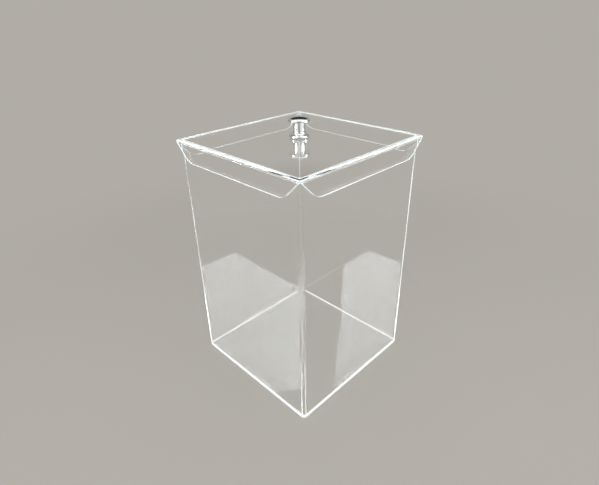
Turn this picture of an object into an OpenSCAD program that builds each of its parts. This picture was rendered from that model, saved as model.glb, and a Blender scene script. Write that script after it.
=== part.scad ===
// Clear sheet donation box: a tall bent-sheet body on a cemented base, closed by a
// lift-off bent-sheet lid that is raised by a turned metal knob.
// The origin is at the middle of the base's underside, with the seam corner at +X +Y.

/* [Box] */
// Outside width of the box, along X
box_width = 192; // [120:1:300]
// Outside depth of the box, along Y
box_depth = 192; // [120:1:300]
// Height of the box, from the underside of the base to the rim the lid rests on
box_height = 300; // [120:1:400]
// Thickness of the sheet that is bent into the four walls
wall_thick = 3; // [2:0.5:6]
// Thickness of the base plate
base_thick = 3; // [2:0.5:6]
// Inside radius of the three bent wall corners
wall_bend = 2; // [1:0.5:10]
// Depth of the fine groove left along the cemented seam of the walls
seam_groove = 0.25; // [0.1:0.05:0.5]

/* [Lid] */
// Thickness of the lid sheet
lid_thick = 3; // [2:0.5:6]
// Gap between each flap of the lid and the wall inside it
lid_gap = 1; // [0.5:0.25:3]
// Depth of the flaps, from the top of the lid
flap_depth = 23; // [20:1:60]
// Radius that rounds the two lower corners of each flap
flap_round = 17; // [4:1:20]
// Angle at which the flaps' ends slope in from the corners of the lid
flap_slope = 45; // [40:1:60]

/* [Knob] */
// Diameter of the knob's head
head_diameter = 25; // [18:0.5:40]
// Thickness of the head's rounded rim
head_rim = 5; // [4:0.5:9]
// Height of the shallow dome above the rim
head_dome = 1.5; // [0.5:0.1:3]
// Diameter of the neck where it meets the head
neck_diameter = 13.8; // [10:0.1:16]
// Height of the head's underside above the lid
neck_height = 16.5; // [10:0.1:20]
// Diameter of the foot that sits on the lid
foot_diameter = 23; // [20:0.5:25]
// Thickness of the foot's rounded edge
foot_edge = 3.4; // [1.6:0.2:4.4]
// Height of the hollow sweep from the foot's edge up into the neck
sweep_height = 4.5; // [4:0.1:5.5]
// Depth of the threaded hole in the knob
thread_depth = 9; // [7:0.5:14]

/* [Fixing screw] */
// Diameter of the screw's thread
screw_diameter = 4; // [3:0.5:5]
// Length of the screw under its head
screw_length = 10; // [8:0.5:14]
// Diameter of the screw's pan head
screw_head_diameter = 8; // [6:0.5:10]
// Height of the screw's pan head
screw_head_height = 2.6; // [1.5:0.1:4]
// Width of each slot of the cross recess
recess_width = 1; // [0.6:0.1:1.5]
// Length of each slot of the cross recess
recess_length = 4.4; // [3:0.1:5.5]
// Depth of the cross recess
recess_depth = 1.6; // [0.8:0.1:2]
// Gap between the screw's thread and the knob's threaded hole
thread_gap = 0.05; // [0.02:0.01:0.1]
// Gap between the screw and the hole in the lid
lid_hole_gap = 0.25; // [0.1:0.05:0.6]
// Gap between the screw and the hole in the washer
washer_hole_gap = 0.15; // [0.1:0.05:0.4]
// Diameter of the washer between the lid and the screw's head
washer_diameter = 12; // [9:0.5:16]
// Thickness of the washer
washer_thick = 1; // [0.5:0.1:2]

/* [Hidden] */
$fn = 100;

// How far a cutting shape runs past the face it cuts
overcut = 1;
// Outside radius of the bent wall corners
wall_corner = wall_bend + wall_thick;
// Inside radius of the lid's bent edges, which start where the walls' rim ends, so that the lid seats flat
lid_bend = lid_gap;
// Outside radius of the lid's bent edges
lid_edge = lid_bend + lid_thick;
// Outside size of the lid, over its flaps
lid_width = box_width + 2 * (lid_gap + lid_thick);
lid_depth = box_depth + 2 * (lid_gap + lid_thick);
// Height of the lid's upper face
lid_top = box_height + lid_thick;
// How far the rounding of a flap's corner reaches along its sloped end and its lower edge
flap_tangent = flap_round * tan(flap_slope / 2);
// Distance in from the lid's corner at which the sloped end would reach the lower edge
slope_run = flap_depth / tan(flap_slope);
// Place of the middle of the head's rounded rim, out from the axis and up from the lid
rim_round = head_rim / 2;
rim_reach = head_diameter / 2 - rim_round;
rim_height = neck_height + rim_round;
// The dome is a sphere that runs smoothly into the rim: how far its centre lies below the rim's middle
dome_drop = (rim_reach * rim_reach - head_dome * head_dome) / (2 * head_dome);
dome_slant = dome_drop + head_dome;
dome_radius = dome_slant + rim_round;
// Radius of the flat part of the foot, and of the sweep that meets it and runs up into the neck
foot_reach = foot_diameter / 2 - foot_edge / 2;
sweep_width = foot_reach - neck_diameter / 2;
sweep_radius = (sweep_width * sweep_width + sweep_height * sweep_height) / (2 * sweep_width);
// Rounding of the pan head's edge
pan_round = screw_head_height / 2;

// What a bend of the given radius takes off a square corner
module corner_waste(radius) {
    difference() {
        square(radius + overcut);
        circle(radius);
    }
}

// Plan of the walls: three bent corners, and one square corner where the sheet's ends meet.
// Each bent corner has its side of the middle along x and y, and the turn of its waste.
module bent_plan(width, depth, radius) {
    difference() {
        square([width, depth], center = true);
        for (corner = [[-1, 1, 90], [-1, -1, 180], [1, -1, 270]])
            translate([corner.x * (width / 2 - radius), corner.y * (depth / 2 - radius)])
                rotate(corner.z)
                    corner_waste(radius);
    }
}

// Base plate, flush with the outside of the walls that stand on it
module base_plate() {
    color("#e4eeec", 0.45)
        linear_extrude(base_thick)
            bent_plan(box_width, box_depth, wall_corner);
}

// The four walls, one sheet bent at three corners and cemented at the fourth
module wall_wrap() {
    color("#eaf1f0", 0.35)
        translate([0, 0, base_thick])
            linear_extrude(box_height - base_thick)
                difference() {
                    bent_plan(box_width, box_depth, wall_corner);
                    bent_plan(box_width - 2 * wall_thick, box_depth - 2 * wall_thick, wall_bend);
                    translate([box_width / 2 - wall_thick, box_depth / 2])
                        rotate(45)
                            square(seam_groove * sqrt(2), center = true);
                }
}

// Outline of a hood from one side: a flat top at height 0 and sides that are bent down from it
module hood_outline(width, height, radius) {
    difference() {
        translate([-width / 2, -height])
            square([width, height]);
        for (side = [0, 1])
            mirror([side, 0])
                translate([width / 2 - radius, -radius])
                    corner_waste(radius);
    }
}

// Hood whose four sides are all bent down from its flat top
module hood(width, depth, height, radius) {
    intersection() {
        rotate([90, 0, 0])
            linear_extrude(depth, center = true)
                hood_outline(width, height, radius);
        rotate([90, 0, 90])
            linear_extrude(width, center = true)
                hood_outline(depth, height, radius);
    }
}

// What is cut off the end of a flap: x runs in from the lid's corner, y up to the lid's top.
// The end slopes in from the corner, and is rounded where it meets the flap's lower edge.
module flap_waste() {
    round_start = slope_run + flap_tangent;
    difference() {
        polygon([
            [-overcut, overcut * tan(flap_slope)],
            [slope_run - flap_tangent * cos(flap_slope), flap_tangent * sin(flap_slope) - flap_depth],
            [round_start, -flap_depth],
            [round_start, -flap_depth - overcut],
            [-overcut, -flap_depth - overcut]
        ]);
        translate([round_start, flap_round - flap_depth])
            circle(flap_round);
    }
}

// Open corner between two flaps, cut through both of them at the corner at the origin
module corner_notch() {
    reach = slope_run + flap_tangent + overcut;
    intersection() {
        translate([0, reach, 0])
            rotate([90, 0, 0])
                linear_extrude(reach + overcut)
                    flap_waste();
        translate([-overcut, 0, 0])
            rotate([90, 0, 90])
                linear_extrude(reach + overcut)
                    flap_waste();
    }
}

// Lid, one sheet with its four edges bent down outside the walls, drilled for the screw
module lid() {
    color("#e4eeec", 0.45)
        difference() {
            translate([0, 0, lid_top])
                hood(lid_width, lid_depth, flap_depth, lid_edge);
            translate([0, 0, box_height])
                hood(lid_width - 2 * lid_thick, lid_depth - 2 * lid_thick, flap_depth, lid_bend);
            for (side = [0, 1], end = [0, 1])
                translate([(side - 1 / 2) * lid_width, (end - 1 / 2) * lid_depth, lid_top])
                    mirror([side, 0])
                        mirror([0, end])
                            corner_notch();
            translate([0, 0, box_height - overcut])
                cylinder(d = screw_diameter + 2 * lid_hole_gap, h = lid_thick + 2 * overcut);
        }
}

// Half section of the knob: foot, hollow sweep, neck and rounded head
module knob_section() {
    neck = neck_diameter / 2;
    square([foot_reach, foot_edge]);
    translate([foot_reach, foot_edge / 2])
        circle(d = foot_edge);
    square([neck, rim_height]);
    translate([0, foot_edge])
        difference() {
            square([foot_reach, sweep_height]);
            translate([neck + sweep_radius, sweep_height])
                circle(sweep_radius);
        }
    translate([0, neck_height])
        square([rim_reach, rim_round]);
    translate([rim_reach, rim_height])
        circle(rim_round);
    intersection() {
        translate([0, rim_height - dome_drop])
            circle(dome_radius);
        translate([0, rim_height])
            polygon([
                [0, 0],
                [rim_reach, 0],
                [rim_reach * (1 + head_rim / dome_slant), dome_drop * head_rim / dome_slant],
                [0, head_rim + head_dome]
            ]);
    }
}

// Knob, turned from bar and plated, with a blind threaded hole in its foot
module knob() {
    color("#c9ced0")
        translate([0, 0, lid_top])
            difference() {
                rotate_extrude()
                    intersection() {
                        knob_section();
                        square([head_diameter, neck_height + head_rim + head_dome]);
                    }
                translate([0, 0, -overcut])
                    cylinder(d = screw_diameter + 2 * thread_gap, h = thread_depth + overcut);
            }
}

// Washer that spreads the screw's clamping load under the lid
module screw_washer() {
    color("#b4b8ba")
        translate([0, 0, box_height - washer_thick])
            difference() {
                cylinder(d = washer_diameter, h = washer_thick);
                translate([0, 0, -overcut])
                    cylinder(d = screw_diameter + 2 * washer_hole_gap, h = washer_thick + 2 * overcut);
            }
}

// Pan-head screw that comes up through the washer and the lid into the knob
module knob_screw() {
    head_seat = box_height - washer_thick;
    color("#a7abad")
        difference() {
            union() {
                translate([0, 0, head_seat])
                    cylinder(d = screw_diameter, h = screw_length);
                translate([0, 0, head_seat - screw_head_height])
                    rotate_extrude()
                        intersection() {
                            union() {
                                translate([0, pan_round])
                                    square([screw_head_diameter / 2, screw_head_height - pan_round]);
                                square([screw_head_diameter / 2 - pan_round, screw_head_height]);
                                translate([screw_head_diameter / 2 - pan_round, pan_round])
                                    circle(pan_round);
                            }
                            square([screw_head_diameter, screw_head_height]);
                        }
            }
            for (turn = [0, 90])
                translate([0, 0, head_seat - screw_head_height + (recess_depth - overcut) / 2])
                    rotate(turn)
                        cube([recess_length, recess_width, recess_depth + overcut], center = true);
        }
}

base_plate();
wall_wrap();
lid();
knob();
screw_washer();
knob_screw();
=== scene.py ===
import math
import bmesh
import bpy
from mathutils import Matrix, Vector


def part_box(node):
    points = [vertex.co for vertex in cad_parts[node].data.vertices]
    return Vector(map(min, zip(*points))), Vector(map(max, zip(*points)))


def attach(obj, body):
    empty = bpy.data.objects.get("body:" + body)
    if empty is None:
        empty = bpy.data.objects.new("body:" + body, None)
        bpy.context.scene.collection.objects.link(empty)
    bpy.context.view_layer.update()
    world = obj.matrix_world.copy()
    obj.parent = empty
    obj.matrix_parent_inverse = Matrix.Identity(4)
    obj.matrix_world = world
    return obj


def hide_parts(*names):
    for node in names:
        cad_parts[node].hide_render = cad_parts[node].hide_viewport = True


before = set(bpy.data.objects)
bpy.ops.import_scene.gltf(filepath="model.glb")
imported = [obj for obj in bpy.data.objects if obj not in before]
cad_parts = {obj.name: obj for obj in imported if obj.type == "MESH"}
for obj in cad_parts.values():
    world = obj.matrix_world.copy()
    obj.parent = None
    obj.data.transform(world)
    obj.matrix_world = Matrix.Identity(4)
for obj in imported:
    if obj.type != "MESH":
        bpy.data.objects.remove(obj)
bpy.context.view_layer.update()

# Studio: a wide pale floor of matt painted board that the box stands on, and the shader
# tools and modelling tools that its finish and every piece after it are made with.


class Signal:
    """A shader socket that takes Python arithmetic: each sign adds its Math node."""

    def __init__(self, finish, socket):
        self.finish = finish
        self.socket = socket

    def __add__(self, other):
        return self.finish.math("ADD", self, other)

    def __mul__(self, other):
        return self.finish.math("MULTIPLY", self, other)

    __radd__ = __add__
    __rmul__ = __mul__


class Finish:
    """The nodes of one material, of a lamp or of the room's light."""

    def __init__(self, name, kinds=bpy.data.materials, *sort):
        self.made = kinds.new(name, *sort)
        self.made.use_nodes = True
        self.tree = self.made.node_tree
        self.tree.nodes.clear()

    def add(self, kind, settings, values, out=0):
        """A node of this kind: its settings are set first, then the values or links of its sockets."""
        node = self.tree.nodes.new("ShaderNode" + kind)
        stops = settings.pop("stops", None)
        for setting, value in settings.items():
            setattr(node, setting, value)
        if stops:
            for element, (place, level) in zip(node.color_ramp.elements, stops):
                element.position = place
                element.color = (level, level, level, 1)
        for socket, value in values.items():
            if isinstance(value, Signal):
                self.tree.links.new(value.socket, node.inputs[socket])
            else:
                node.inputs[socket].default_value = value
        return None if out is None else Signal(self, node.outputs[out])

    def math(self, operation, *values):
        return self.add("Math", {"operation": operation}, dict(enumerate(values)))

    def place(self, stretch=(1, 1, 1), turn=(0, 0, 0)):
        """The piece's own coordinates, stretched and turned for a pattern."""
        own = self.add("TexCoord", {}, {}, out="Object")
        return self.add("Mapping", {}, {"Vector": own, "Rotation": turn, "Scale": stretch})

    def length(self, where):
        """How far a place is from the origin of its coordinates."""
        return self.add("VectorMath", {"operation": "LENGTH"}, {0: where}, out="Value")

    def noise(self, where, scale, detail=3.0):
        return self.add("TexNoise", {}, {"Vector": where, "Scale": scale, "Detail": detail})

    def ramp(self, signal, *stops):
        """The signal with its contrast raised. Each of the two stops is a place and its level."""
        return self.add("ValToRGB", {"stops": stops}, {"Fac": signal})

    def fade(self, signal, start, end):
        """0 up to the start and 1 from the end on, with a soft rise between."""
        return self.add("MapRange", {"interpolation_type": "SMOOTHSTEP"}, {
            "Value": signal, "From Min": start, "From Max": end,
        })

    def tint(self, mask, dark, light):
        """A colour between two others, by the sockets that the Mix node keeps for colours."""
        mask_in, dark_in, light_in, color_out = 0, 6, 7, 2
        colors = {mask_in: mask, dark_in: (*dark, 1), light_in: (*light, 1)}
        return self.add("Mix", {"data_type": "RGBA"}, colors, out=color_out)

    def bump(self, height, strength, distance):
        return self.add("Bump", {}, {"Height": height, "Strength": strength, "Distance": distance})

    def path(self, ray):
        """1 where this kind of ray meets the surface and 0 elsewhere, or how deep the ray has gone."""
        return self.add("LightPath", {}, {}, out=ray)

    def seen(self):
        """1 where the eye meets the surface: directly, in a mirror image or through a clear sheet."""
        return self.path("Is Camera Ray") + self.path("Is Glossy Ray") + self.path("Is Transmission Ray")

    def blend(self, mask, first, second):
        """The first shader where the mask is 0, and the second where it is 1."""
        return self.add("MixShader", {}, {0: mask, 1: first, 2: second})

    def end(self, surface, output="OutputMaterial"):
        self.add(output, {}, {"Surface": surface}, out=None)
        return self.made


def start_piece(make, **place):
    """A new primitive, alone in the selection and in edit mode."""
    if bpy.context.mode != "OBJECT":
        bpy.ops.object.mode_set(mode="OBJECT")
    bpy.ops.object.select_all(action="DESELECT")
    make(**place)
    bpy.ops.object.mode_set(mode="EDIT")
    return bpy.context.object


def stretch_panel(name, size, material):
    """A flat board or cloth of the studio."""
    panel_cuts = 3
    panel = start_piece(bpy.ops.mesh.primitive_plane_add, size=size)
    bpy.ops.mesh.subdivide(number_cuts=panel_cuts)
    bpy.ops.object.mode_set(mode="OBJECT")
    panel.name = name
    panel.data.materials.append(material)
    return panel


floor_color = (0.45, 0.412, 0.367)
floor_mottle = 0.02
floor_size = 400.0
floor_drop = 0.0001
backdrop_color = (0.437, 0.418, 0.382, 1)
backdrop_starts = 0.18
backdrop_ends = 0.85


def studio_floor(name):
    """Matt paint with a soft mottle and a fine tooth. Further off it runs out into an even backdrop."""
    finish = Finish(name)
    where = finish.place()
    tooth = finish.noise(where, scale=900.0, detail=4.0)
    matt, toothed = 0.85, 0.05
    board = finish.add("BsdfPrincipled", {}, {
        "Base Color": finish.tint(
            finish.noise(where, scale=3.0),
            dark=[part * (1 - floor_mottle) for part in floor_color],
            light=floor_color,
        ),
        "Roughness": matt + tooth * toothed,
        "Normal": finish.bump(tooth, strength=0.08, distance=0.0004),
    })
    away = finish.length(finish.place(stretch=(1, 1, 0)))
    far = finish.fade(away, start=backdrop_starts, end=backdrop_ends)
    backdrop = finish.add("Emission", {}, {"Color": backdrop_color, "Strength": 1.0})
    return finish.end(finish.blend(far * finish.seen(), board, backdrop))


floor = stretch_panel("floor", floor_size, studio_floor("floor_board"))
floor.location.z = -floor_drop
bpy.ops.object.transform_apply(location=True)

# Light and camera: an even pale room, a soft box overhead and two at the sides, and two like tall
# windows, which shine more in a mirror image of a mirror image. Four black cloths, which show in
# mirror images alone, put dark lines in the chrome.
box_heart = Vector((0, 0, 0.16))
lamp_color = (0.93, 0.975, 1.0, 1)
room_color = (0.97, 0.985, 1.0, 1)
room_level = 0.26
sheet_bounces = 400

scene = bpy.context.scene
scene.view_settings.view_transform = "Standard"
scene.cycles.caustics_refractive = False
scene.cycles.caustics_reflective = False
scene.cycles.max_bounces = sheet_bounces
scene.cycles.transmission_bounces = sheet_bounces
scene.cycles.glossy_bounces = sheet_bounces
scene.cycles.transparent_max_bounces = 32
scene.cycles.sample_clamp_indirect = 18.0
room = Finish("room", bpy.data.worlds)
scene.world = room.end(room.blend(
    room.seen(),
    room.add("Background", {}, {"Color": room_color, "Strength": room_level}),
    room.add("Background", {}, {"Color": backdrop_color, "Strength": 1.0}),
), "OutputWorld")


def face_the_box(thing, place):
    """Puts a lamp or a cloth in its place and turns it to the box."""
    thing.location = place
    thing.rotation_euler = (thing.location - box_heart).to_track_quat("Z", "Y").to_euler()


def soft_box(name, place, size, power, mirrored=1.0):
    """A rectangular lamp. In a mirror image of a mirror image it is this many times brighter."""
    light = Finish(name, bpy.data.lights, "AREA")
    first_image = 1.5
    twice = light.math("GREATER_THAN", light.path("Glossy Depth"), first_image)
    level = twice * (mirrored - 1.0) + 1.0
    lamp = light.end(light.add("Emission", {}, {"Color": lamp_color, "Strength": level}), "OutputLight")
    lamp.shape = "RECTANGLE"
    lamp.size, lamp.size_y = size
    lamp.energy = power
    box = bpy.data.objects.new(name, lamp)
    scene.collection.objects.link(box)
    face_the_box(box, place)
    box.visible_camera = False


soft_box("overhead", place=(0, 0, 1.9), size=(1.6, 1.6), power=19.0)
soft_box("window_left", place=(-1.074, 0.69, 1.025), size=(0.40, 0.84), power=3.25, mirrored=7.0)
soft_box("window_right", place=(0.786, -0.986, 1.025), size=(0.62, 0.84), power=4.06, mirrored=7.0)
soft_box("side_left", place=(-1.30, 0.11, 0.75), size=(1.4, 0.7), power=4.6)
soft_box("side_right", place=(0.11, -1.30, 0.75), size=(1.4, 0.7), power=4.6)


def flag_cloth(name):
    """Black cloth that thins out to nothing near its hem, so that its mirror image has no hard edge."""
    finish = Finish(name)
    weave = finish.noise(finish.place(), scale=600.0, detail=2.0)
    cloth = finish.add("BsdfPrincipled", {}, {
        "Base Color": finish.tint(weave, dark=(0.008, 0.014, 0.016), light=(0.016, 0.026, 0.028)),
        "Roughness": 0.9,
    })
    hem = finish.fade(finish.length(finish.place()), start=0.3, end=0.5)
    return finish.end(finish.blend(hem, cloth, finish.add("BsdfTransparent", {}, {})))


black_cloth = flag_cloth("black_flag")
for name, place, width, height in (
    ("flag_front", (-0.80, -0.80, 0.26), 0.50, 0.50),
    ("flag_rear", (0.67, 0.67, 0.88), 0.74, 0.52),
    ("flag_rear_left", (-0.15, 0.95, 0.26), 0.50, 0.50),
    ("flag_rear_right", (0.95, -0.15, 0.26), 0.50, 0.50),
):
    flag = stretch_panel(name, 1, black_cloth)
    flag.scale = (width, height, 1)
    face_the_box(flag, place)
    flag.visible_camera = flag.visible_diffuse = flag.visible_transmission = flag.visible_shadow = False

lens = bpy.data.cameras.new("camera")
lens.lens = 26.21
lens.sensor_width = 36.0
camera = bpy.data.objects.new("camera", lens)
scene.collection.objects.link(camera)
camera.location = (-0.34685, -0.34792, 0.43525)
camera.rotation_euler = [math.radians(turn) for turn in (61.312, 1.009, -45.209)]
scene.camera = camera

# Base plate: a flat square of clear cast acrylic, sawn to size. Its cut edge has a painted glow in place of
# the light that runs inside the sheet, so it shows white all round the foot of the box.
base_low, base_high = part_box("base_plate")
sheet = base_high.z - base_low.z
bend_radius = 0.005
bend_steps = 12
eased_edge = 0.0001
eased_steps = 2
hair = 1e-6
mostly = 0.5
almost_level = 0.95
clear_slot, sawn_slot = 0, 1
acrylic_ior = 1.49


def clear_acrylic(name):
    """Clear sheet: almost flat, with fine rubbing marks and a few dust nicks in its polish."""
    finish = Finish(name)
    rubbing = finish.noise(finish.place(stretch=(8, 90, 30), turn=(0.3, 0.5, 0.9)), scale=3.0, detail=6.0)
    rubs = finish.ramp(rubbing, (0.60, 0), (0.74, 1))
    nicks = finish.ramp(finish.noise(finish.place(), scale=420.0, detail=1.0), (0.72, 0), (0.76, 1))
    swell = finish.noise(finish.place(), scale=9.0, detail=1.0)
    polished, rubbed, nicked = 0.004, 0.035, 0.10
    sheet_shader = finish.add("BsdfPrincipled", {}, {
        "Base Color": (0.992, 0.995, 0.9945, 1),
        "Roughness": polished + rubs * rubbed + nicks * nicked,
        "IOR": acrylic_ior,
        "Transmission Weight": 1.0,
        "Normal": finish.bump(swell, strength=0.05, distance=0.002),
    })
    light_through = finish.add("BsdfTransparent", {}, {"Color": (0.985, 0.988, 0.987, 1)})
    room_through = finish.blend(finish.path("Is Diffuse Ray"), sheet_shader, light_through)
    return finish.end(finish.blend(finish.path("Is Shadow Ray"), room_through, light_through))


def sawn_acrylic_with_painted_glow(name, foot):
    """Sawn and scraped edge: milky and ribbed by the cutter. A painted glow, most at the foot, stands in for
    light from inside.
    """
    finish = Finish(name)
    height = finish.add("SeparateXYZ", {}, {0: finish.place()}, out="Z")
    at_foot = finish.math("COMPARE", height, foot, eased_edge)
    ribs = finish.noise(finish.place(stretch=(60, 60, 2)), scale=30.0)
    clouds = finish.noise(finish.place(), scale=60.0)
    scraped, ribbed = 0.28, 0.3
    cloud_glow_share, foot_glow_share = 0.2, 0.8
    # Painted glow: emission lights the edge a little in clouds and most at the foot, in place of light
    # carried in the sheet.
    painted_glow = clouds * cloud_glow_share + at_foot * foot_glow_share
    return finish.end(finish.add("BsdfPrincipled", {}, {
        "Base Color": finish.tint(clouds, dark=(0.72, 0.78, 0.78), light=(0.88, 0.91, 0.905)),
        "Roughness": scraped + ribs * ribbed,
        "IOR": acrylic_ior,
        "Transmission Weight": 0.35,
        "Emission Color": finish.tint(painted_glow, dark=(0.20, 0.23, 0.23), light=(1.0, 1.0, 1.0)),
        "Emission Strength": 1.0,
        "Normal": finish.bump(ribs, strength=0.25, distance=0.0002),
    }))


sheet_clear = clear_acrylic("clear_acrylic")
sheet_edge_and_glow = sawn_acrylic_with_painted_glow("sawn_edge_with_painted_glow", base_high.z)


def start_sheet(low, high):
    """A block of acrylic that fills this box, in edit mode."""
    block = start_piece(
        bpy.ops.mesh.primitive_cube_add, size=1, location=(low + high) / 2, scale=high - low
    )
    bpy.ops.object.mode_set(mode="OBJECT")
    bpy.ops.object.transform_apply(location=True, scale=True)
    bpy.ops.object.mode_set(mode="EDIT")
    block.data.materials.append(sheet_clear)
    block.data.materials.append(sheet_edge_and_glow)
    return block


def pick(kind, test):
    """Selects the vertices, edges or faces that pass the test, and nothing else."""
    bpy.ops.mesh.select_mode(type=kind)
    bpy.ops.mesh.select_all(action="DESELECT")
    mesh = bmesh.from_edit_mesh(bpy.context.object.data)
    mesh.normal_update()
    for item in {"VERT": mesh.verts, "EDGE": mesh.edges, "FACE": mesh.faces}[kind]:
        if test(item):
            item.select_set(True)
    bmesh.update_edit_mesh(bpy.context.object.data)


def bevel(offset, steps, **more):
    """Rounds what is selected."""
    bpy.ops.mesh.bevel(offset=offset, offset_type="OFFSET", segments=steps, clamp_overlap=False, **more)


def bent_corner(edge):
    """True for an upright edge at one of the three bent corners; the fourth is the seam."""
    foot, head = sorted((v.co for v in edge.verts), key=lambda end: end.z)
    return head.z - foot.z > eased_edge and not (foot.x > 0 and foot.y > 0)


def saw_picked(piece):
    """Gives the picked faces the sawn finish."""
    piece.active_material_index = sawn_slot
    bpy.ops.object.material_slot_assign()


def finish_piece(piece, name, body, node, smooth_angle=40.0):
    """Settles the piece at the origin with its edges smoothed, and says what it is and what carries it."""
    bpy.ops.object.mode_set(mode="OBJECT")
    bpy.ops.object.transform_apply(location=True, rotation=True, scale=True)
    piece.name = piece.data.name = name
    bpy.ops.object.shade_smooth_by_angle(angle=math.radians(smooth_angle))
    bpy.ops.object.modifier_add(type="WEIGHTED_NORMAL")
    piece.modifiers[-1].keep_sharp = True
    bpy.ops.object.modifier_apply(modifier=piece.modifiers[-1].name)
    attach(piece, body)
    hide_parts(node)


base_plate = start_sheet(base_low, base_high)
pick("EDGE", bent_corner)
bevel(bend_radius, bend_steps)
pick("EDGE", lambda e: abs(e.verts[0].co.z - e.verts[1].co.z) < hair)
bevel(eased_edge, eased_steps)
pick("FACE", lambda f: abs(f.normal.z) < almost_level)
saw_picked(base_plate)
finish_piece(base_plate, "base_sheet", "box", "base_plate")

# Walls: one clear sheet bent hot at three corners and cemented at the fourth, standing on the
# base plate. The rim and the foot are sawn edges; the seam is a hairline groove down one face.
cement_gap = 0.00003
rim_gap = 0.00005
seam_groove = 0.00025
skin = 1e-5
squarely = 0.99
wall_low, wall_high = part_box("wall_wrap")
wall_low.z += cement_gap
wall_high.z -= rim_gap
seam_x = wall_high.x - sheet


def thicken(shell):
    """Gives a shell the sheet's thickness, inwards from its outer face, with sawn rims."""
    bpy.ops.object.mode_set(mode="OBJECT")
    bpy.ops.object.modifier_add(type="SOLIDIFY")
    thickness = shell.modifiers[-1]
    thickness.thickness = sheet
    thickness.offset = -1.0
    thickness.use_even_offset = True
    thickness.material_offset_rim = sawn_slot - clear_slot
    bpy.ops.object.modifier_apply(modifier=thickness.name)
    bpy.ops.object.mode_set(mode="EDIT")


def ease_sawn_edges():
    """Takes the sharpness off wherever a clear face meets a sawn one."""
    pick("EDGE", lambda e: len({f.material_index for f in e.link_faces}) == 2)
    bevel(eased_edge, eased_steps, material=sawn_slot)


def middle(face):
    return sum((v.co for v in face.verts), Vector((0, 0, 0))) / len(face.verts)


def on_seam(edge):
    """True for an edge that runs down the seam, on the outer face."""
    return all(abs(v.co.x - seam_x) < hair and v.co.y > wall_high.y - skin for v in edge.verts)


walls = start_sheet(wall_low, wall_high)
pick("FACE", lambda f: abs(f.normal.z) > mostly)
bpy.ops.mesh.delete(type="FACE")
pick("EDGE", bent_corner)
bevel(bend_radius, bend_steps)
thicken(walls)
ease_sawn_edges()
pick("FACE", lambda f: f.normal.y > squarely and middle(f).y > wall_high.y - skin)
bpy.ops.mesh.bisect(plane_co=(seam_x, 0, 0), plane_no=(1, 0, 0))
pick("EDGE", on_seam)
bevel(seam_groove, eased_steps)
pick("EDGE", on_seam)
bpy.ops.transform.translate(value=(0, -seam_groove, 0))
pick("EDGE", lambda e: all(v.co.x > wall_high.x - skin and v.co.y > wall_high.y - skin for v in e.verts))
bevel(eased_edge, eased_steps)
pick("FACE", lambda f: middle(f).x > seam_x and middle(f).y > wall_high.y - seam_groove - skin)
saw_picked(walls)
finish_piece(walls, "bent_walls", "box", "wall_wrap")

# Lid: one clear sheet whose four edges are bent down outside the walls. The flaps' ends slope in
# from the corners and round off below, so each corner of the lid is an open notch.
lid_low, lid_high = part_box("lid")
lid_gap = 0.001
lid_bend = lid_gap + sheet
lid_steps = 10
flap_round = 0.017
flap_slope = math.radians(45)
round_reach = flap_round * math.tan(flap_slope / 2)
barely = 0.01
screw_hole = 0.00225
hole_steps = 48


def on_flap(face, across, along, side):
    """True for a face of this flap or of the bend above it."""
    return face.normal[across] * side > barely and abs(face.normal[along]) < barely


def cut_away(piece, cutter):
    """Takes the cutter's shape out of the piece, and throws the cutter away."""
    bpy.ops.object.mode_set(mode="OBJECT")
    bpy.ops.object.select_all(action="DESELECT")
    piece.select_set(True)
    bpy.context.view_layer.objects.active = piece
    bpy.ops.object.modifier_add(type="BOOLEAN")
    cut = piece.modifiers[-1]
    cut.operation = "DIFFERENCE"
    cut.solver = "EXACT"
    cut.object = cutter
    bpy.ops.object.modifier_apply(modifier=cut.name)
    bpy.data.objects.remove(cutter)
    bpy.ops.object.mode_set(mode="EDIT")


lid = start_sheet(lid_low, lid_high)
pick("FACE", lambda f: f.normal.z < -mostly)
bpy.ops.mesh.delete(type="FACE")
pick("EDGE", lambda e: all(v.co.z > lid_high.z - hair for v in e.verts))
bevel(lid_bend, lid_steps)
for across, along in ((1, 0), (0, 1)):
    for side in (-1, 1):
        for end in (-1, 1):
            corner = Vector((0, 0, lid_high.z))
            corner[along] = end * lid_high[along]
            slope = Vector((0, 0, math.cos(flap_slope)))
            slope[along] = -end * math.sin(flap_slope)
            pick("FACE", lambda f: on_flap(f, across, along, side))
            bpy.ops.mesh.bisect(plane_co=corner, plane_no=slope)
            pick("FACE", lambda f: on_flap(f, across, along, side) and (middle(f) - corner).dot(slope) < 0)
            bpy.ops.mesh.delete(type="FACE")
pick("VERT", lambda v: v.co.z < lid_low.z + hair)
bevel(round_reach, lid_steps, affect="VERTICES")
thicken(lid)
cut_away(lid, start_piece(
    bpy.ops.mesh.primitive_cylinder_add,
    vertices=hole_steps, radius=screw_hole, depth=4 * sheet, location=(0, 0, lid_high.z)
))
ease_sawn_edges()
finish_piece(lid, "bent_lid", "cover", "lid")

# Knob: a waisted handle turned from brass bar, polished and chrome plated. It stands on its
# broad foot, and the screw from below holds it by a blind threaded hole.
knob_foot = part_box("knob")[0].z
foot_edge = 0.0034
foot_reach = 0.0098
neck = 0.0069
neck_height = 0.0165
neck_fillet = 0.0004
sweep_height = 0.0045
rim_round = 0.0025
rim_reach = 0.010
dome_rise = 0.0015
thread_hole = 0.00205
thread_depth = 0.009
hole_chamfer = 0.0004
sweep_width = foot_reach - neck
sweep_round = (sweep_width ** 2 + sweep_height ** 2) / (2 * sweep_width)
sweep_start = math.degrees(math.atan2(-sweep_height, sweep_width - sweep_round)) + 360
rim_middle = neck_height + rim_round
dome_drop = (rim_reach ** 2 - dome_rise ** 2) / (2 * dome_rise)
dome_round = dome_drop + dome_rise + rim_round
dome_start = math.degrees(math.atan2(dome_drop, rim_reach))


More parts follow.
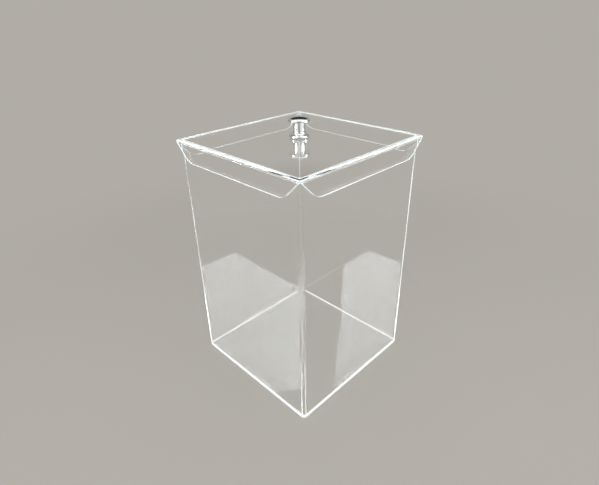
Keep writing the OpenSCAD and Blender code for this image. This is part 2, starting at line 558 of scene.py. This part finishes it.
def arc(centre, radius, start, end, steps):
    """Points along a round part of an outline, its angles in degrees from level outwards."""
    angles = [math.radians(start + (end - start) * step / steps) for step in range(steps + 1)]
    return [(centre[0] + radius * math.cos(a), centre[1] + radius * math.sin(a)) for a in angles]


def turned(outline, steps, material, ring=False):
    """Turns an outline of (radius, height) points about the upright axis: a solid, or a ring."""
    weld_reach = 1e-7
    radius, height = outline[0]
    piece = start_piece(
        bpy.ops.mesh.primitive_circle_add, vertices=steps, radius=radius, location=(0, 0, height)
    )
    piece.data.materials.append(material)
    if not ring:
        bpy.ops.mesh.extrude_region()
        bpy.ops.mesh.merge(type="CENTER")
        pick("EDGE", lambda e: all(v.co.xy.length > radius / 2 for v in e.verts))
    for next_radius, next_height in outline[1:]:
        bpy.ops.mesh.extrude_region()
        bpy.ops.transform.translate(value=(0, 0, next_height - height))
        growth = next_radius / radius
        bpy.ops.transform.resize(value=(growth, growth, 1), center_override=(0, 0, next_height))
        radius, height = next_radius, next_height
    if ring:
        pick("EDGE", lambda e: len(e.link_faces) == 1)
        bpy.ops.mesh.bridge_edge_loops()
    else:
        bpy.ops.mesh.extrude_region()
        bpy.ops.mesh.merge(type="CENTER")
    bpy.ops.mesh.select_all(action="SELECT")
    bpy.ops.mesh.remove_doubles(threshold=weld_reach)
    bpy.ops.mesh.normals_make_consistent(inside=False)
    return piece


def plated_chrome(name):
    """Bright chrome: almost a mirror, with fine turned lines and thin smears."""
    finish = Finish(name)
    lines = finish.noise(finish.place(stretch=(1, 1, 240)), scale=14.0, detail=4.0)
    wiping = finish.noise(finish.place(stretch=(1.0, 1.6, 1.2), turn=(0.4, 0.2, 0)), scale=160.0, detail=5.0)
    smears = finish.ramp(wiping, (0.45, 0), (0.8, 1))
    mirror, smeared, lined = 0.045, 0.09, 0.03
    return finish.end(finish.add("BsdfPrincipled", {}, {
        "Base Color": finish.tint(smears, dark=(0.80, 0.825, 0.83), light=(0.74, 0.76, 0.765)),
        "Metallic": 1.0,
        "Roughness": mirror + smears * smeared + lines * lined,
        "Normal": finish.bump(lines, strength=0.05, distance=0.00005),
    }))


knob_outline = [
    (thread_hole, thread_depth),
    (thread_hole, hole_chamfer),
    (thread_hole + hole_chamfer, 0),
    *arc((foot_reach, foot_edge / 2), foot_edge / 2, start=-90, end=90, steps=16),
    *arc((neck + sweep_round, foot_edge + sweep_height), sweep_round, sweep_start, end=180, steps=14)[1:],
    *arc((neck + neck_fillet, neck_height - neck_fillet), neck_fillet, start=180, end=90, steps=4),
    *arc((rim_reach, rim_middle), rim_round, start=-90, end=dome_start, steps=22),
    *arc((0, rim_middle - dome_drop), dome_round, start=dome_start, end=90, steps=12)[1:-1],
]
chrome = plated_chrome("plated_chrome")
knob = turned([(radius, knob_foot + height) for radius, height in knob_outline], 96, chrome)
finish_piece(knob, "plated_knob", "cover", "knob", smooth_angle=50.0)

# Washer: stamped from zinc-plated steel strip, with its edges rounded a little. It spreads the
# screw's pull over the underside of the lid.
washer_low, washer_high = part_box("screw_washer")
washer_hole = 0.00215
washer_reach = washer_high.x
stamp_round = 0.0002


def zinc_steel(name):
    """Zinc-plated steel: dull silver with a faint crystal mottle and small handling marks."""
    finish = Finish(name)
    mottle = finish.noise(finish.place(), scale=700.0, detail=5.0)
    marks = finish.noise(finish.place(stretch=(1, 6, 1), turn=(0, 0, 0.7)), scale=300.0)
    plated, mottled = 0.24, 0.18
    return finish.end(finish.add("BsdfPrincipled", {}, {
        "Base Color": finish.tint(mottle, dark=(0.52, 0.53, 0.54), light=(0.66, 0.67, 0.675)),
        "Metallic": 1.0,
        "Roughness": plated + mottle * mottled,
        "Normal": finish.bump(marks, strength=0.15, distance=0.0001),
    }))


zinc = zinc_steel("zinc_steel")
washer = turned([
    (washer_hole, washer_high.z - stamp_round),
    (washer_hole, washer_low.z + stamp_round),
    (washer_hole + stamp_round, washer_low.z),
    *arc((washer_reach - stamp_round, washer_low.z + stamp_round), stamp_round, start=-90, end=0, steps=4),
    *arc((washer_reach - stamp_round, washer_high.z - stamp_round), stamp_round, start=0, end=90, steps=4),
    (washer_hole + stamp_round, washer_high.z),
], 64, zinc, ring=True)
finish_piece(washer, "steel_washer", "cover", "screw_washer")

# Fixing screw: an M4 pan head with a cross recess, rolled thread and zinc plating. It comes up
# through the washer and the lid into the knob.
screw_low, screw_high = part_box("knob_screw")
head_reach = screw_high.x
head_seat = washer_low.z
head_ease = 0.0001
pan_round = 0.0013
recess_size = (0.0044, 0.001, 0.0032)
recess_turns = (45, 135)
tip_chamfer = 0.0006
thread_reach = 0.002
thread_root = 0.00158
thread_pitch = 0.0007
thread_start = 0.0004
thread_turns = 12
thread_steps = 32
thread_sides = 3

screw = turned([
    (head_reach - pan_round - head_ease, screw_low.z),
    *arc((head_reach - pan_round, screw_low.z + pan_round), pan_round, start=-90, end=0, steps=10),
    (head_reach, head_seat - head_ease),
    (head_reach - head_ease, head_seat),
    (thread_root, head_seat),
    (thread_root, screw_high.z - tip_chamfer),
    (thread_root - tip_chamfer, screw_high.z),
], 64, zinc)
for turn in recess_turns:
    cut_away(screw, start_piece(
        bpy.ops.mesh.primitive_cube_add, size=1, scale=recess_size, location=(0, 0, screw_low.z),
        rotation=(0, 0, math.radians(turn))
    ))
ridge = start_piece(
    bpy.ops.mesh.primitive_circle_add, vertices=thread_sides, radius=thread_pitch / 2,
    location=(thread_pitch / 2 - thread_reach, 0, head_seat + thread_start),
    rotation=(0, math.radians(-90), math.radians(90))
)
bpy.ops.object.mode_set(mode="OBJECT")
bpy.ops.object.transform_apply(location=True, rotation=True)
ridge.data.materials.append(zinc)
bpy.ops.object.modifier_add(type="SCREW")
rolling = ridge.modifiers[-1]
rolling.steps = rolling.render_steps = thread_steps
rolling.screw_offset = thread_pitch
rolling.iterations = thread_turns
bpy.ops.object.modifier_apply(modifier=rolling.name)
bpy.ops.object.mode_set(mode="EDIT")
bpy.ops.mesh.select_all(action="SELECT")
bpy.ops.mesh.fill_holes(sides=thread_sides)
bpy.ops.mesh.normals_make_consistent(inside=False)
bpy.ops.object.mode_set(mode="OBJECT")
screw.select_set(True)
bpy.context.view_layer.objects.active = screw
bpy.ops.object.join()
finish_piece(screw, "pan_head_screw", "cover", "knob_screw")
